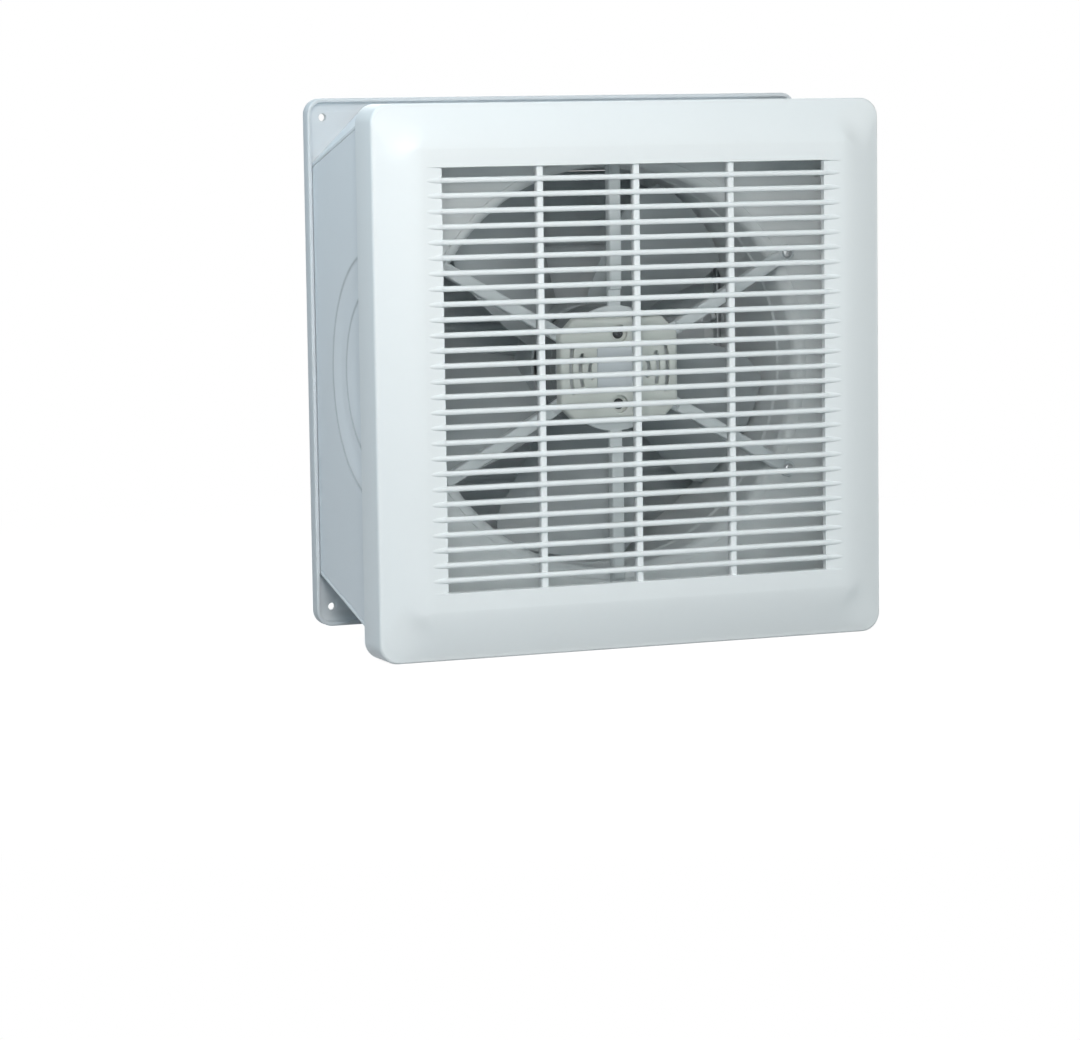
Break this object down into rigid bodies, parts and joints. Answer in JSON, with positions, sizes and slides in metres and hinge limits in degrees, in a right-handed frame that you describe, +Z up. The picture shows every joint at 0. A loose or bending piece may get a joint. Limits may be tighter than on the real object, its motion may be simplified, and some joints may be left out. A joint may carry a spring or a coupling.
{
  "type": "window exhaust fan",
  "caption": "Square window exhaust fan: louvred white front panel over a casing with a motor on a spider, a broad-bladed impeller and linked gravity flaps behind.",
  "frame": {"origin": "centre of the rear plate, on its back face, which lies on the wall or window panel", "axes": "+X to the right seen from the room, +Y through the wall to the outside, +Z up"},
  "size_m": [0.4, 0.209, 0.405],
  "materials": {
    "panel_plastic": "satin",
    "casing_plastic": "satin",
    "duct_plastic": "satin",
    "spider_plastic": "satin",
    "cover_plastic": "matt",
    "impeller_plastic": "satin",
    "flap_plastic": "matt",
    "motor_metal": "satin",
    "bare_steel": "satin",
    "copper_wire": "enamelled",
    "bronze": "plain",
    "brass_screw": "plain",
    "black_rubber": "matt",
    "black_plastic": "matt"
  },
  "bodies": {
    "housing": {"rear_plate": "casing_plastic", "window_gasket": "black_rubber", "casing_shell": "casing_plastic", "inlet_deck": "duct_plastic", "bell_mouth": "duct_plastic", "duct_ring": "duct_plastic", "shutter_frame": "duct_plastic", "motor_spider": "spider_plastic", "motor_cover": "cover_plastic", "motor_can": "motor_metal", "stator_core": "bare_steel", "stator_winding": "copper_wire", "front_bearing": "bronze", "rear_bearing": "bronze", "capacitor": "cover_plastic", "capacitor_clip": "bare_steel", "terminal_box": "duct_plastic", "terminal_lid": "duct_plastic", "terminal_block": "black_plastic", "terminal_screws": "brass_screw", "cable_grommet": "black_rubber", "motor_lead": "black_plastic", "body_screws": "bare_steel", "shutter_screws": "bare_steel", "deck_screws": "bare_steel", "spider_screws": "bare_steel", "motor_screws": "bare_steel", "cover_screws": "bare_steel", "grille_clips": "bare_steel"},
    "fan_rotor": {"motor_shaft": "bare_steel", "rotor": "bare_steel", "impeller": "impeller_plastic", "impeller_washer": "bare_steel", "impeller_nut": "bare_steel"},
    "grille": {"front_grille": "panel_plastic"},
    "flap_1": {"shutter_flap_1": "flap_plastic"},
    "flap_2": {"shutter_flap_2": "flap_plastic"},
    "flap_3": {"shutter_flap_3": "flap_plastic"},
    "flap_4": {"shutter_flap_4": "flap_plastic"},
    "flap_5": {"shutter_flap_5": "flap_plastic"},
    "link": {"shutter_link": "bare_steel"}
  },
  "joints": [
    {"name": "impeller_spin", "type": "hinge", "parent": "housing", "child": "fan_rotor", "pos_m": [0, -0.06, -0.004], "axis": [0, 1, 0], "continuous": true},
    {"name": "grille_pull", "type": "slide", "parent": "housing", "child": "grille", "axis": [0, -1, 0], "range_m": [0, 0.06]},
    {"name": "flap_1_swing", "type": "hinge", "parent": "housing", "child": "flap_1", "pos_m": [0, 0.024, 0.136], "axis": [1, 0, 0], "range_deg": [0, 70]},
    {"name": "flap_2_swing", "type": "hinge", "parent": "housing", "child": "flap_2", "pos_m": [0, 0.024, 0.0785], "axis": [1, 0, 0], "range_deg": [0, 70]},
    {"name": "flap_3_swing", "type": "hinge", "parent": "housing", "child": "flap_3", "pos_m": [0, 0.024, 0.021], "axis": [1, 0, 0], "range_deg": [0, 70]},
    {"name": "flap_4_swing", "type": "hinge", "parent": "housing", "child": "flap_4", "pos_m": [0, 0.024, -0.0365], "axis": [1, 0, 0], "range_deg": [0, 70]},
    {"name": "flap_5_swing", "type": "hinge", "parent": "housing", "child": "flap_5", "pos_m": [0, 0.024, -0.094], "axis": [1, 0, 0], "range_deg": [0, 70]},
    {"name": "link_pivot", "type": "hinge", "parent": "flap_1", "child": "link", "pos_m": [0.14, 0.00824, 0.13878], "axis": [1, 0, 0], "range_deg": [-70, 0]}
  ],
  "couplings": [
    {"joint": "flap_2_swing", "follows": "flap_1_swing", "ratio": 1},
    {"joint": "flap_3_swing", "follows": "flap_1_swing", "ratio": 1},
    {"joint": "flap_4_swing", "follows": "flap_1_swing", "ratio": 1},
    {"joint": "flap_5_swing", "follows": "flap_1_swing", "ratio": 1},
    {"joint": "link_pivot", "follows": "flap_1_swing", "ratio": -1}
  ]
}
